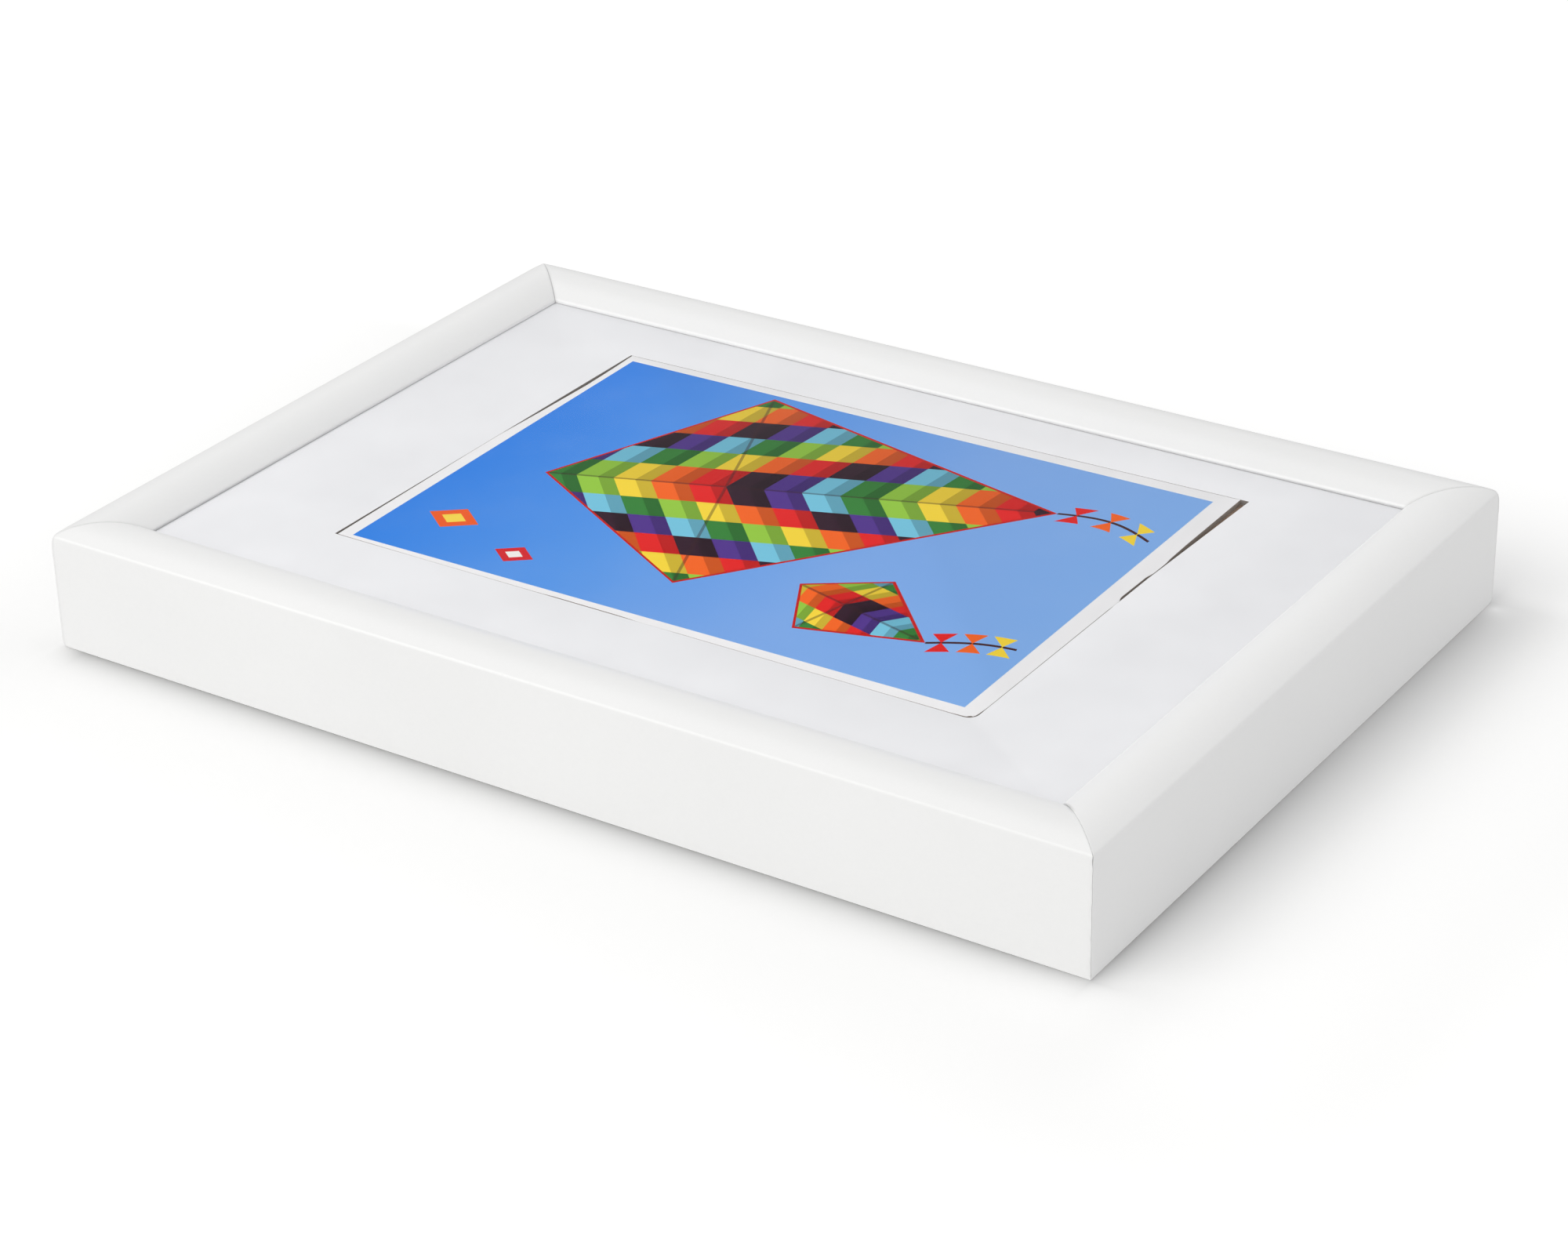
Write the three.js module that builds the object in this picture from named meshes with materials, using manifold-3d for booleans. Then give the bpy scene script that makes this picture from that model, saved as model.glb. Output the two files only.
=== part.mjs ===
// A white plastic picture frame lying on its back, face up. Four mitred mouldings hold a clear pane, a mat with a printed
// card in its window, and a back panel. Turn buttons on the mouldings' rear shoulder keep the panel in, and two hangers
// are riveted to the panel. Millimetres, +Z up. The origin is the middle of the rear rim, on the surface that the frame
// lies on. The picture's top points to -X, so the -X side is the top, the +X side the bottom and the -Y side the left.
import * as THREE from "three";
import { mergeVertices } from "three/addons/utils/BufferGeometryUtils.js";
import Module from "manifold-3d";

const wasm = await Module();
wasm.setup();

// Picture format: the space between the rebate walls
const formatLength = 300;
const formatWidth = 200;

// Moulding section, measured inwards from the outer face and up from the rear rim
const wallHeight = 34.6;
const crownRise = 3.4; // domed front, above the line from the outer arris to the lip
const lipDrop = 1.6; // lip's upper edge, below the outer arris
const lipEdge = 0.9; // lip's thickness at its edge
const lipOverlap = 4.5; // lip over the pane
const rebateInset = 15; // outer face to rebate wall
const legThickness = 8;
const mitreGap = 0.1; // taken off each mitred end, along the moulding

// Sheets of the pack
const packClearance = 0.5; // to the rebate walls
const lipGap = 0.05; // lip to pane
const sheetGap = 0.05; // one sheet to the next
const paneThickness = 0.3;
const matThickness = 1.2;
const windowLength = 206;
const windowWidth = 145;
const windowDown = 1.8; // window's middle below the mat's middle, towards +X
const windowAside = 3.8; // and to its right, towards +Y
const windowFlare = 4.4; // window wider at the picture's bottom than at its top
const printThickness = 1;
const printClearance = 0.4; // to the window's edge
const printTrim = 2.4; // crooked cut at the card's lower right corner
const printTrimLength = 78;
const panelThickness = 3;

// Turn buttons, leaves of spring steel, and their screws
const buttonThickness = 0.8;
const buttonReach = 20; // pivot to the bend of the finger tip
const buttonTip = 5;
const buttonTipDrop = 2.2;
const buttonGap = 0.2; // leaf to shoulder, and leaf to screw head
const buttonSideGap = 0.5; // leaf to leg, when it lies along the moulding
const buttonSpacingLong = 170;
const buttonSpacingShort = 110;
const screwRadius = 1.1;
const screwDepth = 7;
const screwHeadRadius = 2.6;
const screwHeadHeight = 1.7;
const screwClearance = 0.3;

// Corner nails, sheet steel bent to a V and driven into the mitres from behind
const nailThickness = 0.6;
const nailLeg = 6;
const nailHeight = 12;
const nailRecess = 0.3; // below the rear rim's face
const nailClearance = 0.3;

// Hangers: a strap with a rolled eye, a triangular ring in the eye and two rivets
const hangerInset = 14; // rebate wall to eye
const hangerWidth = 9;
const hangerThickness = 0.8;
const hangerGap = 0.2; // strap to panel
const eyeBore = 1.45; // radius
const ringWire = 1.5;
const ringHeight = 17;
const ringSpread = 4; // ring past each end of the eye
const ringCorner = 2;
const rivetRadius = 1.2;
const rivetHeadRadius = 2.4;
const rivetHeadHeight = 0.9;
const rivetClearance = 0.3;
const rivetRecess = 0.3; // below the panel's front face
const rivetOffset = 8; // eye to the first rivet
const rivetPitch = 7;
const strapEnd = 4; // last rivet to the strap's end

// How finely round shapes are cut
const crownSteps = 8;
const domeSteps = 4;
const roundSides = 16;
const cornerSteps = 4;
const beyond = 1; // cutters run past the faces that they open

// Sizes that follow from the ones above
const rimWidth = rebateInset + lipOverlap;
const outerLength = formatLength + 2 * rebateInset;
const outerWidth = formatWidth + 2 * rebateInset;
const sheetLength = formatLength - 2 * packClearance;
const sheetWidth = formatWidth - 2 * packClearance;
const lipTop = wallHeight - lipDrop;
const lipUnder = lipTop - lipEdge;
const paneBottom = lipUnder - lipGap - paneThickness;
const pictureBottom = paneBottom - sheetGap - Math.max(matThickness, printThickness);
const panelTop = pictureBottom - sheetGap;
const shoulderHeight = panelTop - panelThickness;
const pivotInset = (legThickness + rebateInset) / 2;
const leafHalf = (rebateInset - legThickness) / 2 - buttonSideGap;
const screwHole = screwRadius + screwClearance;
const screwHeadTop = -2 * buttonGap - buttonThickness; // from the shoulder
const nailInset = legThickness / 2;
const eyeRadius = eyeBore + hangerThickness;
const eyeHeight = shoulderHeight - hangerGap - eyeRadius;
const strapLength = rivetOffset + rivetPitch + strapEnd;
const rivetHole = rivetRadius + rivetClearance;
const rivetPlaces = [rivetOffset, rivetOffset + rivetPitch];

// Finishes
const finish = (color, roughness, metalness) => new THREE.MeshStandardMaterial({ color, roughness, metalness });
const whitePlastic = finish(0xf1f1ef, 0.38, 0);
const clearPlastic = finish(0xe4ecee, 0.05, 0);
const matBoard = finish(0xe6e7ea, 0.85, 0);
const printedCard = finish(0x5590dc, 0.5, 0);
const hardboard = finish(0x8a6543, 0.8, 0);
const zincSteel = finish(0xb8babd, 0.35, 1);

clearPlastic.transparent = true;
clearPlastic.opacity = 0.2;

// Closed geometry to a solid and back, for the cuts and joins
function solidOf(geometry) {
  const bare = geometry.clone();
  bare.deleteAttribute("normal");
  bare.deleteAttribute("uv");
  const merged = mergeVertices(bare);
  const vertProperties = merged.attributes.position.array;
  const triVerts = new Uint32Array(merged.index.array);
  return new wasm.Manifold(new wasm.Mesh({ numProp: 3, vertProperties, triVerts }));
}

function geometryOf(solid) {
  const { vertProperties, triVerts } = solid.getMesh();
  return new THREE.BufferGeometry()
    .setAttribute("position", new THREE.BufferAttribute(vertProperties, 3))
    .setIndex(new THREE.BufferAttribute(triVerts, 1));
}

function cut(geometry, cutters) {
  const whole = solidOf(geometry);
  return geometryOf(cutters.reduce((rest, cutter) => rest.subtract(solidOf(cutter)), whole));
}

// Shapes that several pieces use
function block(low, high) {
  const [x, y, z] = [0, 1, 2].map((axis) => high[axis] - low[axis]);
  return new THREE.BoxGeometry(x, y, z).translate(low[0] + x / 2, low[1] + y / 2, low[2] + z / 2);
}

function sheet(length, width, bottom, thickness) {
  return block([-length / 2, -width / 2, bottom], [length / 2, width / 2, bottom + thickness]);
}

function roundBar(radius, x, y, bottom, top) {
  return new THREE.CylinderGeometry(radius, radius, top - bottom, roundSides)
    .rotateX(Math.PI / 2)
    .translate(x, y, (bottom + top) / 2);
}

// A shape drawn flat and raised from the height bottom
function raised(shape, bottom, height, curveSegments) {
  return new THREE.ExtrudeGeometry(shape, { depth: height, bevelEnabled: false, curveSegments })
    .translate(0, 0, bottom);
}

// A shape drawn in the YZ plane and drawn out along X, on both sides of the plane
function drawnAlongX(shape, width, curveSegments) {
  return new THREE.ExtrudeGeometry(shape, { depth: width, bevelEnabled: false, curveSegments })
    .translate(0, 0, -width / 2)
    .rotateX(Math.PI / 2)
    .rotateZ(Math.PI / 2);
}

// A profile of [radius, height] pairs turned about Z, from the axis back to the axis
function turned(profile) {
  const points = profile.map(([radius, height]) => new THREE.Vector2(radius, height));
  return new THREE.LatheGeometry(points, roundSides).rotateX(Math.PI / 2);
}

// The profile of a round head that bulges down from the height top
function domed(radius, height, top) {
  return Array.from({ length: domeSteps + 1 }, (_, step) => {
    const angle = ((step / domeSteps) * Math.PI) / 2;
    return [radius * Math.sin(angle), top - height * Math.cos(angle)];
  });
}

function polygon(points) {
  return new THREE.Shape(points.map(([x, y]) => new THREE.Vector2(x, y)));
}

// A polygon whose corners are rounded off, starting each curve a little way before its corner
function roundedPath(points, setback) {
  const path = new THREE.Shape();
  points.forEach((corner, i) => {
    const before = points.at(i - 1);
    const after = points[(i + 1) % points.length];
    const start = corner.clone().lerp(before, setback / corner.distanceTo(before));
    const end = corner.clone().lerp(after, setback / corner.distanceTo(after));
    if (i === 0) path.moveTo(start.x, start.y);
    else path.lineTo(start.x, start.y);
    path.quadraticCurveTo(corner.x, corner.y, end.x, end.y);
  });
  return path;
}

function piece(name, geometry, material) {
  const mesh = new THREE.Mesh(geometry, material);
  mesh.name = name;
  return mesh;
}

// Moulding section: leg, shoulder, rebate and lip, closed over the front by one arc
function mouldingSection() {
  const arris = new THREE.Vector2(0, wallHeight);
  const lip = new THREE.Vector2(rimWidth, lipTop);
  const chord = lip.clone().sub(arris);
  const half = chord.length() / 2;
  const radius = (half ** 2 + crownRise ** 2) / (2 * crownRise);
  const upwards = new THREE.Vector2(-chord.y, chord.x).normalize();
  const centre = arris.clone().lerp(lip, 0.5).addScaledVector(upwards, crownRise - radius);
  const section = new THREE.Shape();
  section.moveTo(0, 0);
  section.lineTo(legThickness, 0);
  section.lineTo(legThickness, shoulderHeight);
  section.lineTo(rebateInset, shoulderHeight);
  section.lineTo(rebateInset, lipUnder);
  section.lineTo(rimWidth, lipUnder);
  section.absarc(centre.x, centre.y, radius, lip.sub(centre).angle(), arris.sub(centre).angle(), false);
  return section;
}

// A moulding along X on the -Y side, with both ends mitred, slotted for the corner nails and bored for its screws
function moulding(length, span, screwPlaces) {
  const bar = drawnAlongX(mouldingSection(), 1, crownSteps).translate(0, -span, 0);
  const points = bar.attributes.position;
  for (let i = 0; i < points.count; i += 1) {
    const inset = points.getY(i) + span;
    points.setX(i, Math.sign(points.getX(i)) * (length / 2 - inset - mitreGap));
  }
  const slotHalf = nailThickness / 2 + nailClearance;
  const slotReach = length / 2 - nailInset - nailLeg - nailClearance;
  const slotTop = nailRecess + nailHeight + nailClearance;
  const slots = [-1, 1].map((end) => {
    const [near, far] = [end * slotReach, end * (length / 2 + beyond)];
    const low = [Math.min(near, far), nailInset - span - slotHalf, -beyond];
    const high = [Math.max(near, far), nailInset - span + slotHalf, slotTop];
    return block(low, high);
  });
  const holeTop = shoulderHeight + screwDepth + screwClearance;
  const holes = screwPlaces.map((x) =>
    roundBar(screwHole, x, pivotInset - span, shoulderHeight - beyond, holeTop),
  );
  return cut(bar, [...slots, ...holes]);
}

// A turn button about its pivot on the shoulder: a flat leaf along +Y whose tip bends away for the finger
function turnButton() {
  const top = -buttonGap;
  const end = buttonReach + buttonTip;
  const side = polygon([
    [-leafHalf, top],
    [-leafHalf, top - buttonThickness],
    [buttonReach, top - buttonThickness],
    [end, top - buttonThickness - buttonTipDrop],
    [end, top - buttonTipDrop],
    [buttonReach, top],
  ]);
  const plan = new THREE.Shape();
  plan.moveTo(leafHalf, 0);
  plan.absarc(0, end - leafHalf, leafHalf, 0, Math.PI, false);
  plan.absarc(0, 0, leafHalf, Math.PI, 2 * Math.PI, false);
  plan.holes.push(new THREE.Path().absarc(0, 0, screwHole, 0, 2 * Math.PI, true));
  const leafDepth = buttonThickness + buttonTipDrop + buttonGap;
  const outline = raised(plan, -leafDepth - beyond, leafDepth + 2 * beyond, crownSteps);
  return geometryOf(solidOf(drawnAlongX(side, 2 * leafHalf + beyond)).intersect(solidOf(outline)));
}

// Its screw, with a domed head below the leaf and its point in the moulding
function buttonScrew() {
  return turned([
    ...domed(screwHeadRadius, screwHeadHeight, screwHeadTop),
    [screwRadius, screwHeadTop],
    [screwRadius, screwDepth - screwRadius],
    [0, screwDepth],
  ]);
}

// A corner nail about the point where its two legs meet, for the corner on the +X -Y side
function cornerNail() {
  const half = nailThickness / 2;
  const plan = polygon([
    [half, -half],
    [half, nailLeg],
    [-half, nailLeg],
    [-half, half],
    [-nailLeg, half],
    [-nailLeg, -half],
  ]);
  return raised(plan, nailRecess, nailHeight);
}

// The window's corners, drawn in by an inset: top left, bottom left, bottom right and top right of the picture
function windowPlan(inset) {
  const x = windowLength / 2 - inset;
  const y = windowWidth / 2 - inset;
  const corners = [
    [-x, -y],
    [x, -y],
    [x, y + windowFlare / 2],
    [-x, y - windowFlare / 2],
  ];
  return corners.map(([along, aside]) => [windowDown + along, windowAside + aside]);
}

// The mat, with its window
function mat() {
  const hole = raised(polygon(windowPlan(0)), pictureBottom - beyond, matThickness + 2 * beyond);
  return cut(sheet(sheetLength, sheetWidth, pictureBottom, matThickness), [hole]);
}

// The printed card, cut a little crooked at one corner
function picturePrint() {
  const [topLeft, bottomLeft, [x, y], topRight] = windowPlan(printClearance);
  const plan = polygon([topLeft, bottomLeft, [x, y - printTrimLength], [x - printTrim, y], topRight]);
  return raised(plan, pictureBottom, printThickness);
}

// The back panel, bored for the hangers' rivets
function backPanel(rivetPoints) {
  const holes = rivetPoints.map(({ x, y }) =>
    roundBar(rivetHole, x, y, shoulderHeight - beyond, panelTop + beyond),
  );
  return cut(sheet(sheetLength, sheetWidth, shoulderHeight, panelThickness), holes);
}

// Hanger pieces about the middle of the eye, with the strap along +X and the eye along Y
function hangerStrap() {
  const underside = eyeRadius - hangerThickness;
  const meets = Math.asin(underside / eyeRadius);
  const side = new THREE.Shape();
  side.moveTo(strapLength, eyeRadius);
  side.absarc(0, 0, eyeRadius, Math.PI / 2, 2 * Math.PI + meets, false);
  side.lineTo(strapLength, underside);
  side.holes.push(new THREE.Path().absarc(0, 0, eyeBore, 0, 2 * Math.PI, true));
  const strap = drawnAlongX(side, hangerWidth, crownSteps).rotateZ(-Math.PI / 2);
  const holes = rivetPlaces.map((x) => roundBar(rivetHole, x, 0, underside - beyond, eyeRadius + beyond));
  return cut(strap, holes);
}

function hangerRing() {
  const half = hangerWidth / 2 + ringSpread;
  const top = ringWire / 2;
  const corners = [new THREE.Vector2(-half, top), new THREE.Vector2(0, top - ringHeight), new THREE.Vector2(half, top)];
  const side = Math.hypot(half, ringHeight);
  const inradius = (half * ringHeight) / (half + side);
  const middle = new THREE.Vector2(0, top - inradius);
  const inner = corners.map((corner) => middle.clone().lerp(corner, 1 - ringWire / inradius));
  const ring = roundedPath(corners, ringCorner);
  ring.holes.push(roundedPath(inner, ringCorner / 2));
  return drawnAlongX(ring, ringWire, cornerSteps);
}

function hangerRivet() {
  const headTop = eyeRadius - hangerThickness - hangerGap;
  const end = eyeRadius + hangerGap + panelThickness - rivetRecess;
  return turned([
    ...domed(rivetHeadRadius, rivetHeadHeight, headTop),
    [rivetRadius, headTop],
    [rivetRadius, end],
    [0, end],
  ]);
}

// The frame, put together
const pictureFrame = new THREE.Group();

const longSide = { length: outerLength, span: outerWidth / 2, spacing: buttonSpacingLong };
const shortSide = { length: outerWidth, span: outerLength / 2, spacing: buttonSpacingShort };
const sides = [
  { name: "left", ...longSide },
  { name: "bottom", ...shortSide },
  { name: "right", ...longSide },
  { name: "top", ...shortSide },
];

sides.forEach(({ name, length, span, spacing }, quarter) => {
  const side = new THREE.Group();
  const screwPlaces = [-spacing / 2, spacing / 2];
  side.rotation.z = (quarter * Math.PI) / 2;
  side.add(piece(`moulding_${name}`, moulding(length, span, screwPlaces), whitePlastic));
  screwPlaces.forEach((x, i) => {
    const button = piece(`turn_button_${name}_${i + 1}`, turnButton(), zincSteel);
    const screw = piece(`button_screw_${name}_${i + 1}`, buttonScrew(), zincSteel);
    button.position.set(x, pivotInset - span, shoulderHeight);
    screw.position.copy(button.position);
    side.add(button, screw);
  });
  pictureFrame.add(side);
});

const corners = [
  [1, -1],
  [1, 1],
  [-1, 1],
  [-1, -1],
];

corners.forEach(([x, y], quarter) => {
  const nail = piece(`corner_nail_${quarter + 1}`, cornerNail(), zincSteel);
  nail.position.set(x * (outerLength / 2 - nailInset), y * (outerWidth / 2 - nailInset), 0);
  nail.rotation.z = (quarter * Math.PI) / 2;
  pictureFrame.add(nail);
});

const hangers = [
  { name: "upright", x: hangerInset - formatLength / 2, y: 0, quarter: 0 },
  { name: "lengthways", x: 0, y: formatWidth / 2 - hangerInset, quarter: -1 },
];
const rivetPoints = [];

hangers.forEach(({ name, x, y, quarter }) => {
  const hanger = new THREE.Group();
  hanger.position.set(x, y, eyeHeight);
  hanger.rotation.z = (quarter * Math.PI) / 2;
  hanger.add(piece(`hanger_${name}_strap`, hangerStrap(), zincSteel));
  hanger.add(piece(`hanger_${name}_ring`, hangerRing(), zincSteel));
  hanger.updateMatrix();
  rivetPlaces.forEach((place, i) => {
    const rivet = piece(`hanger_${name}_rivet_${i + 1}`, hangerRivet(), zincSteel);
    rivet.position.x = place;
    rivetPoints.push(rivet.position.clone().applyMatrix4(hanger.matrix));
    hanger.add(rivet);
  });
  pictureFrame.add(hanger);
});

pictureFrame.add(piece("clear_pane", sheet(sheetLength, sheetWidth, paneBottom, paneThickness), clearPlastic));
pictureFrame.add(piece("mat", mat(), matBoard));
pictureFrame.add(piece("picture_print", picturePrint(), printedCard));
pictureFrame.add(piece("back_panel", backPanel(rivetPoints), hardboard));

export default pictureFrame;
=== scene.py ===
# Looks of a white plastic picture frame that lies on its back, face up. Pieces are drawn in millimetres in
# the part's own frame and scaled to metres when finished. The picture's top points to -X, its right to +Y.
import math

import bmesh
import bpy
from mathutils import Matrix, Quaternion, Vector


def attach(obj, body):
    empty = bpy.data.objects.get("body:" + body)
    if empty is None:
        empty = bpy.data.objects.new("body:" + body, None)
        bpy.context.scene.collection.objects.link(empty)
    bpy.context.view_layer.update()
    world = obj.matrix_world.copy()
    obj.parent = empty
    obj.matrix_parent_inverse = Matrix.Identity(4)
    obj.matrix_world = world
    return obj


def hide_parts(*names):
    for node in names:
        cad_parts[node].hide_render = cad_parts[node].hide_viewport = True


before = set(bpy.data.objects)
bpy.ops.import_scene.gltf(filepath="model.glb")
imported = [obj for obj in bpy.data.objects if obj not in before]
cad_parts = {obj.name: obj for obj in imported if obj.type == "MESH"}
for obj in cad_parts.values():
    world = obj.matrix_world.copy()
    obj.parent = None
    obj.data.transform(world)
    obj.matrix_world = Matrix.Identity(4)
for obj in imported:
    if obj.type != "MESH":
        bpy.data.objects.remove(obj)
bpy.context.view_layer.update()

MM = 0.001

# Moulding section, inwards from the outer face and up from the rear rim
OUTER_LENGTH = 330
OUTER_WIDTH = 230
WALL = 34.6
CROWN_RISE = 3.4
LIP_TOP = 33.0
LIP_UNDER = 32.1
RIM = 19.5
REBATE = 15
LEG = 8
SHOULDER = 27.45
CROWN_STEPS = 26
WALL_STEPS = 36
MITRE_GAP = 0.05
ARRIS_BEND = 0.45
LIP_BEND = 0.3
LIP_UNDER_BEND = 0.06
FOOT_BEND = 0.5
REBATE_BEND = 0.3
BEND_STEPS = 4
MITRE_ARRIS = 0.15
NEAR_MITRE_ARRIS = 0.07

# Sheets of the pack
SHEET_LENGTH = 299
SHEET_WIDTH = 199
PANE_BOTTOM = 32.01
PANE_THICKNESS = 0.06
PANE_ARRIS = 0.015
MAT_BOTTOM = 30.5
MAT_THICKNESS = 1.5
MAT_ARRIS = 0.08
WINDOW_LENGTH = 206
WINDOW_WIDTH = 145
WINDOW_DOWN = 1.8
WINDOW_ASIDE = 3.8
WINDOW_FLARE = 4.4
WINDOW_BEND = 3
WINDOW_BULGE = 1.5
WINDOW_BULGE_START = 22
CARD_THICKNESS = 1.44
CARD_ARRIS = 0.04
CARD_STEPS = 65
PICTURE_LENGTH = 196
PICTURE_WIDTH = 137.6
PICTURE_DOWN = 0.7
PICTURE_ASIDE = 3.3
PICTURE_TURN = 0.0133

# Hardware behind
METAL_ARRIS = 0.1
LONG_SPACING = 170
SHORT_SPACING = 110
PIVOT_INSET = 11.5
LEAF_HALF = 3
LEAF_TOP = -0.2
LEAF_THICKNESS = 0.8
LEAF_REACH = 20
LEAF_TIP = 5
LEAF_TIP_DROP = 2.2
LEAF_CURL = 1.15
LEAF_HOLE = 1.4
SCREW_HEAD_TOP = -1.2
SCREW_HEAD_RADIUS = 2.6
SCREW_HEAD_HEIGHT = 1.7
SCREW_RADIUS = 1.1
SCREW_LENGTH = 8.2
CROSS_SIZE = (2.9, 0.75, 2.4)
CROSS_TAPER = 0.5
NAIL_INSET = 4
NAIL_LEG = 6
NAIL_HEIGHT = 12.6
NAIL_SLOT_HALF = 0.6
NAIL_ROOM = 0.3
EYE_HEIGHT = 25
EYE_BORE = 1.45
EYE_RADIUS = 2.25
STRAP_WIDTH = 9
STRAP_LENGTH = 19
STRAP_END_BEND = 3
STRAP_ROLL = math.radians(292)
RING_WIRE = 1.5
RING_HEIGHT = 17
RING_HALF = 8.5
RING_BEND = 1.7
RIVET_PLACES = (8, 15)
RIVET_HEAD_RADIUS = 2.4
RIVET_HEAD_HEIGHT = 0.9
RIVET_RADIUS = 1.2
RIVET_LENGTH = 4
RIVET_SINK = 0.05


def srgb(red, green, blue):
    """A colour as it is seen, 0 to 255, made linear for a node."""
    channels = []
    for value in (red, green, blue):
        share = value / 255
        channels.append(share / 12.92 if share <= 0.04045 else ((share + 0.055) / 1.055) ** 2.4)
    return (*channels, 1)


# Node building

SOCKET_KINDS = {"Place": "Vector", "Centre": "Vector", "Edge": "Vector", "Colour": "Color"}


def tree_of(*values):
    """The node tree of the first socket among some values."""
    return next(value.id_data for value in values if isinstance(value, bpy.types.NodeSocket))


def feed(socket, value):
    """Links a socket to another one, or sets it to a plain value."""
    if isinstance(value, bpy.types.NodeSocket):
        socket.id_data.links.new(value, socket)
    else:
        socket.default_value = value


def add_node(kind, settings=None, tree=None, **inputs):
    made = (tree or tree_of(*inputs.values())).nodes.new("ShaderNode" + kind)
    for name, value in (settings or {}).items():
        setattr(made, name, value)
    for name, value in inputs.items():
        feed(made.inputs[name], value)
    return made


def calc(operation, *values):
    made = add_node("Math", {"operation": operation}, tree_of(*values))
    for socket, value in zip(made.inputs, values):
        feed(socket, value)
    return made.outputs[0]


def chain(operation, first, *others):
    """Several values joined in turn by one operation."""
    for other in others:
        first = calc(operation, first, other)
    return first


def times(*values):
    return chain("MULTIPLY", *values)


def weigh(first, second, share):
    """Two values together, with the given share of the first."""
    return calc("MULTIPLY_ADD", first, share, times(second, 1 - share))


def vector_calc(operation, first, second):
    made = add_node("VectorMath", {"operation": operation}, tree_of(first, second))
    feed(made.inputs[0], first)
    feed(made.inputs[1], second)
    return made.outputs["Value" if operation == "DISTANCE" else "Vector"]


def axes_of(place):
    return add_node("SeparateXYZ", Vector=place).outputs


def flat_place(first, second):
    return add_node("CombineXYZ", X=first, Y=second).outputs["Vector"]


def noise(place, scale, **settings):
    return add_node("TexNoise", Vector=place, Scale=scale, **settings).outputs["Fac"]


def add_grey(value):
    made = add_node("CombineColor", Red=value, Green=value, Blue=value)
    return made.outputs["Color"]


def blend(factor, under, over, kind="MIX"):
    settings = {"data_type": "RGBA", "blend_type": kind}
    made = add_node("Mix", settings, tree_of(factor, under, over))
    for place, value in ((0, factor), (6, under), (7, over)):
        feed(made.inputs[place], value)
    return made.outputs[2]


def spread(value, low, high, to_low=0.0, to_high=1.0, kind="LINEAR"):
    """A value's place between two limits, as a place between two others."""
    made = add_node("MapRange", {"interpolation_type": kind}, Value=value)
    for socket, number in zip(made.inputs[1:5], (low, high, to_low, to_high)):
        socket.default_value = number
    return made.outputs["Result"]


def colour_bands(factor, colours, stepped=False):
    made = add_node("ValToRGB", Fac=factor)
    made.color_ramp.interpolation = "CONSTANT" if stepped else "LINEAR"
    elements = made.color_ramp.elements
    while len(elements) < len(colours):
        elements.new(1)
    last = len(colours) if stepped else len(colours) - 1
    for i, colour in enumerate(colours):
        elements[i].position = i / last
        elements[i].color = colour
    return made.outputs["Color"]


def new_group(name, takes, gives):
    tree = bpy.data.node_groups.new(name, "ShaderNodeTree")
    for way, labels in (("INPUT", takes), ("OUTPUT", gives)):
        for label in labels:
            kind = "NodeSocket" + SOCKET_KINDS.get(label, "Float")
            tree.interface.new_socket(label, in_out=way, socket_type=kind)
    return tree, tree.nodes.new("NodeGroupInput").outputs, tree.nodes.new("NodeGroupOutput").inputs


def use_group(group, **inputs):
    return add_node("Group", {"node_tree": group}, **inputs).outputs


def new_finish(name):
    material = bpy.data.materials.new(name)
    material.use_nodes = True
    tree = material.node_tree
    surface = tree.nodes["Principled BSDF"]
    place = add_node("TexCoord", tree=tree).outputs["Object"]
    return material, surface, place


# The middle span of a noise's values
NOISE_SPAN = (0.3, 0.7)
NARROW_SPAN = (0.35, 0.65)


def paint(surface, colour, tone, rough):
    """Gives a surface its colour, and a roughness that goes by its tone."""
    feed(surface.inputs["Base Color"], colour)
    feed(surface.inputs["Roughness"], spread(tone, *NOISE_SPAN, *rough))


def bump(surface, height, strength, distance):
    made = add_node("Bump", Height=height, Strength=strength, Distance=distance)
    feed(surface.inputs["Normal"], made.outputs["Normal"])


def mix_shaders(share, under, over):
    """Lays one shader over another by a share, as the material's surface."""
    mixed = add_node("MixShader", Fac=share)
    feed(mixed.inputs[1], under.outputs["BSDF"])
    feed(mixed.inputs[2], over.outputs["BSDF"])
    feed(share.id_data.nodes["Material Output"].inputs["Surface"], mixed.outputs["Shader"])


def make_mottle():
    """Slow and fine unevenness of a surface: a value about 0.5 for tone, and a height for bumps."""
    tree, takes, gives = new_group("mottle", ("Place", "Slow", "Fine"), ("Tone", "Height"))
    slow = noise(takes["Place"], takes["Slow"], Detail=3.0)
    fine = noise(takes["Place"], takes["Fine"], Detail=4.0, Roughness=0.6)
    feed(gives["Tone"], weigh(fine, slow, 0.3))
    feed(gives["Height"], fine)
    return tree


def make_specks():
    """Sparse small specks, as of dust or of flaws in the surface: 1 in a speck."""
    tree, takes, gives = new_group("specks", ("Place", "Scale", "Size", "Share"), ("Mask",))
    cells = add_node("TexVoronoi", Vector=takes["Place"], Scale=takes["Scale"])
    near = calc("LESS_THAN", cells.outputs["Distance"], takes["Size"])
    chance = add_node("SeparateColor", Color=cells.outputs["Color"]).outputs["Red"]
    feed(gives["Mask"], times(near, calc("LESS_THAN", chance, takes["Share"])))
    return tree


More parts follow.
